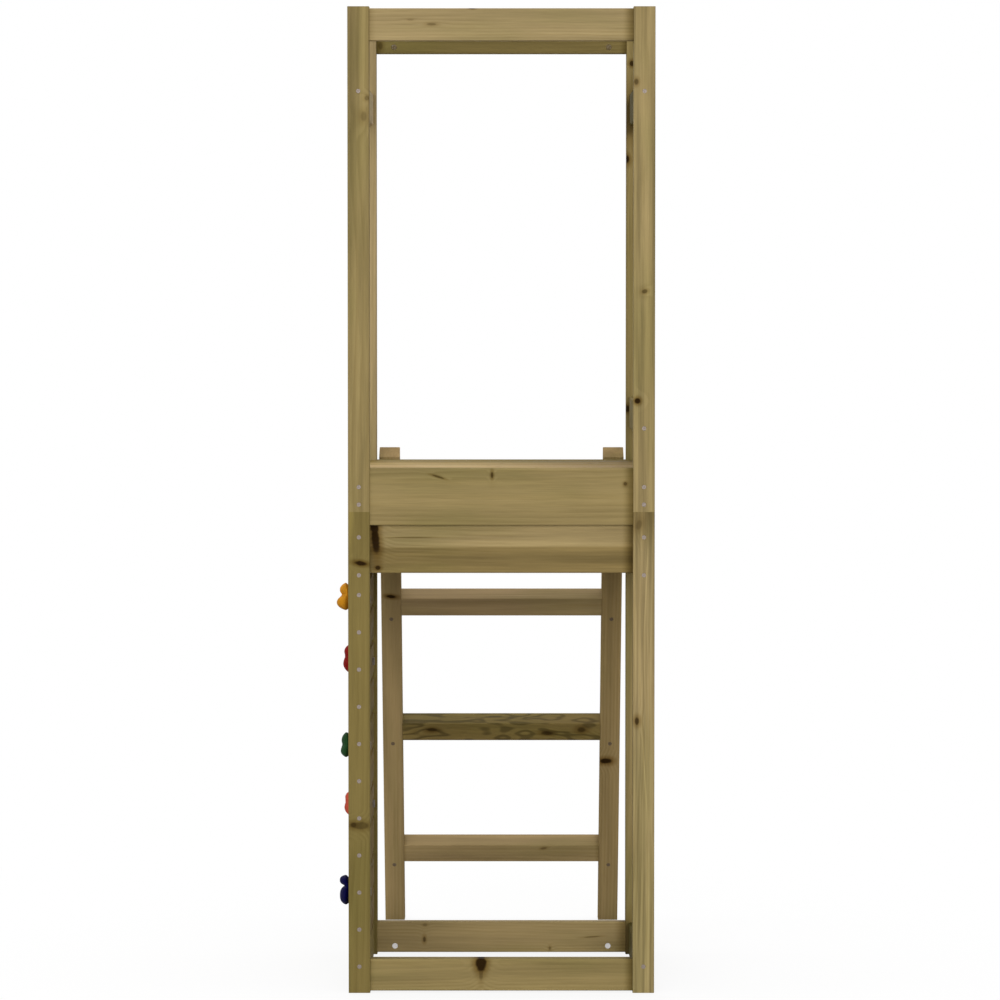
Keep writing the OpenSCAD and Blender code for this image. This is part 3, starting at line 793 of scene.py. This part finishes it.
# Four corners of each cell of a grid that closes along its columns, and along its rows if asked
def gridFaces(rows, columns, closeRows):
    r = np.arange(rows if closeRows else rows - 1)[:, None]
    c = np.arange(columns)[None, :]
    rNext = (r + 1) % rows
    cNext = (c + 1) % columns
    corners = [r * columns + c, r * columns + cNext, rNext * columns + cNext, rNext * columns + c]
    return np.stack(corners, axis=-1).reshape(-1, 4)


# Climbing holds: two lobes on a foot, in the hold's own plane with the bolt at its origin
holdSet = {
    "length": 0.096,
    "reach": 0.0295,
    "rise": 0.0330,           # of the outline above the bolt
    "fall": 0.0241,           # and below it
    "planPower": 0.35,
    "planLeast": 1e-6,
    "footThickness": 0.012,
    "footPower": 8,
    "lobeEnd": 0.98,
    "lobeLengths": (0.97, 0.84),
    "blendPower": 4,
    "seat": 0.006,
    "recessRadius": 0.0069,
    "boreRadius": 0.0042,
    "footShare": 0.72,        # the foot is narrower than the lobes that overhang it
    "tuckHeights": (0.005, 0.015),
    "tuckSpread": 0.5,
    "around": 160,
    "outwards": 48,
    "halvings": 48,
    "searchShare": 1.5,
    "sharpAngle": 40,
    # Shares of the sizes above, for the lower and the upper lobe where there are two; the lobes meet at
    # the waist and run past it by the lap, and fullness is the power of their arch across
    "holds": {
        "orange": {
            "slat": 1, "column": 0.20, "length": 1.00, "rise": 0.94, "fall": 0.90, "reach": (0.99, 0.81),
            "fullness": 2, "waist": 0.03, "lap": 0.14, "tilt": 5, "colour": (0.66, 0.28, 0.016),
        },
        "red": {
            "slat": 3, "column": 0.76, "length": 0.94, "rise": 1.00, "fall": 0.95, "reach": (0.89, 0.82),
            "fullness": 2, "waist": 0.18, "lap": 0.21, "tilt": -6, "colour": (0.245, 0.007, 0.005),
        },
        "green": {
            "slat": 5, "column": 0.20, "length": 0.90, "rise": 0.82, "fall": 0.95, "reach": (0.77, 0.72),
            "fullness": 2, "waist": -0.15, "lap": 0.24, "tilt": 4, "colour": (0.016, 0.060, 0.018),
        },
        "coral": {
            "slat": 7, "column": 0.76, "length": 0.96, "rise": 0.76, "fall": 0.95, "reach": (0.83, 0.78),
            "fullness": 2, "waist": 0.18, "lap": 0.24, "tilt": -4, "colour": (0.56, 0.088, 0.050),
        },
        "blue": {
            "slat": 9, "column": 0.20, "length": 1.00, "rise": 0.94, "fall": 1.00, "reach": (0.83, 0.84),
            "fullness": 2.7, "waist": 0.30, "lap": 0.04, "tilt": 7, "colour": (0.002, 0.002, 0.042),
        },
    },
}


# Half a circle over the points q of its diameter, or a fuller curve for a power above 2
def arch(q, power=2):
    return np.clip(1 - np.abs(q) ** power, 0, 1) ** (1 / power)


# Middle and half height of a hold, and half its length
def holdExtent(hold, s):
    rise = s["rise"] * hold["rise"]
    fall = s["fall"] * hold["fall"]
    return (rise - fall) / 2, (rise + fall) / 2, s["length"] * hold["length"] / 2


# Height of a hold over its plane: the foot and both lobes, each an arch across times a half circle along,
# joined by the fourth root of the sum of their fourth powers
def holdHeight(x, y, hold, s):
    middle, half, halfLength = holdExtent(hold, s)
    u = np.clip(x / halfLength, -1, 1)
    plan = np.maximum((1 - u * u) ** s["planPower"], s["planLeast"])
    q = np.clip((y - middle) / (half * plan), -1, 1)
    power = s["blendPower"]

    def foot(t):
        return np.clip(1 - np.abs(t) ** s["footPower"], 0, 1) ** (1 / power)

    total = (s["footThickness"] * foot(q) * foot(u)) ** power
    for way, length, reach in zip((-1, 1), s["lobeLengths"], hold["reach"]):
        own = ((s["reach"] * reach) ** power - s["footThickness"] ** power) ** (1 / power)
        near = hold["waist"] - way * hold["lap"]
        far = way * s["lobeEnd"]
        across = arch((2 * q - near - far) / (far - near), hold["fullness"])
        total = total + (own * across * arch(u / length)) ** power
    return total ** (1 / power)


# Distance from the bolt to the hold's outline at each angle, by halving
def holdOutline(angles, hold, s):
    middle, half, halfLength = holdExtent(hold, s)
    near = np.zeros_like(angles)
    far = np.full_like(angles, s["searchShare"] * halfLength)
    for _ in range(s["halvings"]):
        r = (near + far) / 2
        x = r * np.cos(angles)
        plan = np.clip(1 - (x / halfLength) ** 2, 0, 1) ** s["planPower"]
        inside = np.abs(r * np.sin(angles) - middle) < half * plan
        near = np.where(inside, r, near)
        far = np.where(inside, far, r)
    return near


# Rings of points from the bore up to the recess and out over the hold to its outline; towards the foot
# they are drawn in to a share of their distance from the bolt
def holdGrid(hold, s):
    angles = np.linspace(0, 2 * math.pi, s["around"], endpoint=False)
    edge = holdOutline(angles, hold, s)[None, :]
    step = np.sin(np.linspace(0, math.pi / 2, s["outwards"]))[:, None]
    r = s["recessRadius"] + (edge - s["recessRadius"]) * step
    x = r * np.cos(angles)
    y = r * np.sin(angles)
    z = holdHeight(x, y, hold, s)
    z[-1] = 0
    tuckLow, tuckHigh = s["tuckHeights"]
    up = np.clip((z - tuckLow) / (tuckHigh - tuckLow), 0, 1)
    out = np.clip((r - s["recessRadius"]) / (s["tuckSpread"] * edge), 0, 1)
    tuck = 1 - (1 - s["footShare"]) * (1 - up * up * (3 - 2 * up)) * out
    bore = np.array([(s["boreRadius"], 0), (s["boreRadius"], s["seat"]), (s["recessRadius"], s["seat"])])
    boreX = bore[:, :1] * np.cos(angles)
    boreY = bore[:, :1] * np.sin(angles)
    boreZ = bore[:, 1:] + np.zeros_like(boreX)
    inner = np.stack([boreX, boreY, boreZ], axis=-1)
    return np.concatenate([inner, np.stack([x * tuck, y * tuck, z], axis=-1)])


def makeHold(name, s):
    hold = s["holds"][name]
    low, high = (np.array(corner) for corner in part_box(f"climbing_slat_{hold['slat']}"))
    grid = holdGrid(hold, s)
    turn = math.radians(hold["tilt"])
    turnedX = grid[..., 0] * math.cos(turn) - grid[..., 1] * math.sin(turn)
    turnedY = grid[..., 0] * math.sin(turn) + grid[..., 1] * math.cos(turn)
    bolt = np.array((low[0], low[1] + hold["column"] * (high[1] - low[1]), (low[2] + high[2]) / 2))
    points = bolt + np.stack([-grid[..., 2], -turnedX, turnedY], axis=-1)
    faces = gridFaces(grid.shape[0], grid.shape[1], True)
    material = plasticMaterial(name + "Plastic", hold["colour"], plasticSet)
    addPiece(name + "Hold", points.reshape(-1, 3), faces[:, ::-1], material,
             "climbing_hold_" + name, s["sharpAngle"])
    recolour(nodes["climbing_hold_" + name], material)
    return bolt


holdBolts = [makeHold(name, holdSet) for name in holdSet["holds"]]
print("holds moulded:", len(holdBolts))

# Screws and bolts: a profile turned about its axis, with a lobed key recess in the head
fastenerSet = {
    "around": 36,
    "lobes": 6,
    "sharpAngle": 35,
    "poleShare": 0.02,        # of the key's radius, where the recess ends in a small cap
    "keyFloor": (0.9, 0.94),  # shares of the key's radius and depth at the edge of the recess floor
    "faceShares": (0.62, 0.94),
    "lip": 0.0001,            # depth of the head's face and of its outer edge
    "bevel": 0.0003,
    "tipShare": 0.05,
    "screw": {
        "head": 0.00375, "headHeight": 0.003, "shank": 0.002, "flush": True,
        "key": 0.0017, "keyDepth": 0.0016, "wave": 0.15,
    },
    "railBolt": {
        "head": 0.006, "headHeight": 0.004, "shank": 0.003, "flush": False,
        "key": 0.0024, "keyDepth": 0.0024, "wave": 0.06,
    },
    "holdBolt": {
        "head": 0.0065, "headHeight": 0.0048, "shank": 0.004, "flush": False,
        "key": 0.0030, "keyDepth": 0.003, "wave": 0.06,
    },
}


# Radius and depth of each ring, from the recess round the head and down to the tip, and 1 where it is lobed
def fastenerProfile(p, length, s):
    head, shank, key = p["head"], p["shank"], p["key"]
    floorRadius, floorDepth = s["keyFloor"]
    rings = [(key * s["poleShare"], p["keyDepth"], 0)]
    rings += [(key * floorRadius, p["keyDepth"] * floorDepth, 1), (key, s["lip"], 1)]
    rings += [(head * share, s["lip"], 0) for share in s["faceShares"]]
    rings += [(head, s["bevel"], 0)]
    if not p["flush"]:
        rings += [(head, p["headHeight"], 0)]
    rings += [(shank, p["headHeight"], 0), (shank, length - shank, 0), (shank * s["tipShare"], length, 0)]
    return np.array(rings)


# All fasteners of one kind as one piece: the same turned grid at each place, with its axis along its aim;
# a helper direction that is off the aim gives the two directions square to it
def makeFasteners(name, kind, length, spots, material, standsFor, s):
    places, aims = spots
    p = s[kind]
    profile = fastenerProfile(p, length, s)
    angles = np.linspace(0, 2 * math.pi, s["around"], endpoint=False)
    wave = 1 + p["wave"] * np.cos(s["lobes"] * angles)
    radius = profile[:, :1] * np.where(profile[:, 2:] > 0, wave[None, :], 1)
    aim = np.array(aims, float)
    helper = np.where(np.abs(aim[:, :1]) > 0.5, (0.0, 0.0, 1.0), (1.0, 0.0, 0.0))
    sideways = np.cross(helper, aim)
    sideways /= np.linalg.norm(sideways, axis=1, keepdims=True)
    upwards = np.cross(aim, sideways)
    turned = (radius * np.cos(angles))[None, ..., None] * sideways[:, None, None, :]
    turned = turned + (radius * np.sin(angles))[None, ..., None] * upwards[:, None, None, :]
    deep = profile[None, :, 1, None, None] * aim[:, None, None, :]
    points = np.array(places)[:, None, None, :] + turned + deep
    rows, columns = radius.shape
    cells = gridFaces(rows, columns, False)
    caps = [tuple(range(columns - 1, -1, -1)), tuple(range((rows - 1) * columns, rows * columns))]
    count = len(places)
    faces = (cells[None] + (np.arange(count) * rows * columns)[:, None, None]).reshape(-1, 4)
    faces = [tuple(f) for f in faces[:, ::-1].tolist()]
    faces += [tuple(i + k * rows * columns for i in cap[::-1]) for k in range(count) for cap in caps]
    addPiece(name, points.reshape(-1, 3), faces, material, standsFor, s["sharpAngle"])
    print(name, count)


# Side screws: through the posts into the ends of each timber that runs from front to back, at heights
# over the timber's middle
sideScrewSet = {
    "length": 0.070,
    "rises": {
        "bottom_rail_left": (0.015,),
        "bottom_rail_right": (0.015,),
        "guard_rail_left": (0.015,),
        "guard_rail_right_top": (0.015,),
        "guard_rail_right_low": (-0.015,),
        "climbing_slat": (0.015,),
        "deck_bearer": (-0.015, 0.015),
        "side_board": (-0.0325, 0.0325),
    },
}


def sideScrewSpots(s):
    places, aims = [], []
    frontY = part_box("lower_post_front_left")[0].y
    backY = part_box("lower_post_rear_left")[1].y
    for name in timberNames:
        x, _, z = middleOf(name)
        ownRises = [rises for start, rises in s["rises"].items() if name.startswith(start)]
        for rise in sum(ownRises, ()):
            places += [(x, frontY, z + rise), (x, backY, z + rise)]
            aims += [(0, 1, 0), (0, -1, 0)]
    return places, aims


# Board screws: from the outer sides of the posts into the ends of the deck boards
boardScrewSet = {"length": 0.070, "edge": 0.010}


def boardScrewSpots(s):
    places, aims = [], []
    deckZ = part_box("deck_plank_1")[1].z
    bearerZ = middleOf("deck_bearer_left")[2]
    sideZ = middleOf("side_board_left")[2]
    halfBoard = (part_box("side_board_left")[1].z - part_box("side_board_left")[0].z) / 2
    heights = {"upper": (bearerZ, deckZ - s["edge"]), "lower": (sideZ, sideZ + halfBoard)}
    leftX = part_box("lower_post_front_left")[0].x
    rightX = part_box("lower_post_front_right")[1].x
    for end in ("front", "rear"):
        for layer in ("upper", "lower"):
            y = middleOf(f"deck_board_{end}_{layer}")[1]
            for z in heights[layer]:
                places += [(leftX, y, z), (rightX, y, z)]
                aims += [(1, 0, 0), (-1, 0, 0)]
    return places, aims


# Deck screws: two through each plank into each bearer
deckScrewSet = {"length": 0.045, "plankShare": 0.28, "bearerShift": 0.25}


def deckScrewSpots(s):
    places, aims = [], []
    for plank in [n for n in timberNames if n.startswith("deck_plank")]:
        low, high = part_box(plank)
        for side, sign in (("left", 1), ("right", -1)):
            bearerLow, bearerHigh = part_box("deck_bearer_" + side)
            inwards = sign * s["bearerShift"] * (bearerHigh.x - bearerLow.x)
            x = (bearerLow.x + bearerHigh.x) / 2 + inwards
            for way in (-1, 1):
                y = (low.y + high.y) / 2 + way * s["plankShare"] * (high.y - low.y)
                places.append((x, y, high.z))
                aims.append((0, 0, -1))
    return places, aims


# Ladder screws: one into each end of a rung, and a lock screw just below it in each stringer
ladderScrewSet = {"endLength": 0.070, "lockLength": 0.030, "depth": 0.042, "lockDrop": 0.025}


def rungEnds():
    rungs = [n for n in timberNames if n.startswith("ladder_rung")]
    return [(rung, side, sign) for rung in rungs for side, sign in (("left", 1), ("right", -1))]


def rungScrewSpots():
    places, aims = [], []
    for rung, side, sign in rungEnds():
        _, y, z = middleOf(rung)
        low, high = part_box("ladder_stringer_" + side)
        places.append((low.x if sign > 0 else high.x, y, z))
        aims.append((sign, 0, 0))
    return places, aims


def lockScrewSpots(s):
    places, aims = [], []
    leanCos, leanSin = math.cos(ladderLean()), math.sin(ladderLean())
    out, down = -s["depth"] / 2, -s["lockDrop"]
    for rung, side, _ in rungEnds():
        _, y, z = middleOf(rung)
        low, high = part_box("ladder_stringer_" + side)
        x = (low.x + high.x) / 2
        places.append((x, y + out * leanCos - down * leanSin, z + out * leanSin + down * leanCos))
        aims.append((0, leanCos, leanSin))
    return places, aims


# Rail bolts: from the outer sides of the posts into the front and rear rails
railBoltSet = {"length": 0.079, "drop": 0.016}


def railBoltSpots(s):
    places, aims = [], []
    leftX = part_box("lower_post_front_left")[0].x
    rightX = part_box("lower_post_front_right")[1].x
    for rail in ("top_rail_front", "top_rail_rear", "bottom_rail_front", "bottom_rail_rear"):
        _, y, z = middleOf(rail)
        places += [(leftX, y, z - s["drop"]), (rightX, y, z - s["drop"])]
        aims += [(1, 0, 0), (-1, 0, 0)]
    return places, aims


# Hold bolts: the heads sit in the recesses of the holds and the ends in the nuts behind the slats
holdBoltSet = {"nut": 0.004, "slat": 0.026}
boltTop = holdSet["seat"] + fastenerSet["holdBolt"]["headHeight"]
boltLength = boltTop + holdBoltSet["slat"] + holdBoltSet["nut"]
boltSpots = [bolt - np.array((boltTop, 0, 0)) for bolt in holdBolts], [(1, 0, 0)] * len(holdBolts)

makeFasteners("sideScrews", "screw", sideScrewSet["length"], sideScrewSpots(sideScrewSet), zinc,
              "side_screws", fastenerSet)
makeFasteners("boardScrews", "screw", boardScrewSet["length"], boardScrewSpots(boardScrewSet), zinc,
              "board_screws", fastenerSet)
makeFasteners("deckScrews", "screw", deckScrewSet["length"], deckScrewSpots(deckScrewSet), zinc,
              "deck_screws", fastenerSet)
makeFasteners("rungScrews", "screw", ladderScrewSet["endLength"], rungScrewSpots(), zinc,
              "ladder_screws", fastenerSet)
# the lock screws take the dark zinc of painted shade
makeFasteners("rungLockScrews", "screw", ladderScrewSet["lockLength"], lockScrewSpots(ladderScrewSet),
              shadedLockZinc, "ladder_screws", fastenerSet)
makeFasteners("railBolts", "railBolt", railBoltSet["length"], railBoltSpots(railBoltSet), zinc,
              "rail_bolts", fastenerSet)
makeFasteners("holdBolts", "holdBolt", boltLength, boltSpots, zinc, "hold_bolts", fastenerSet)
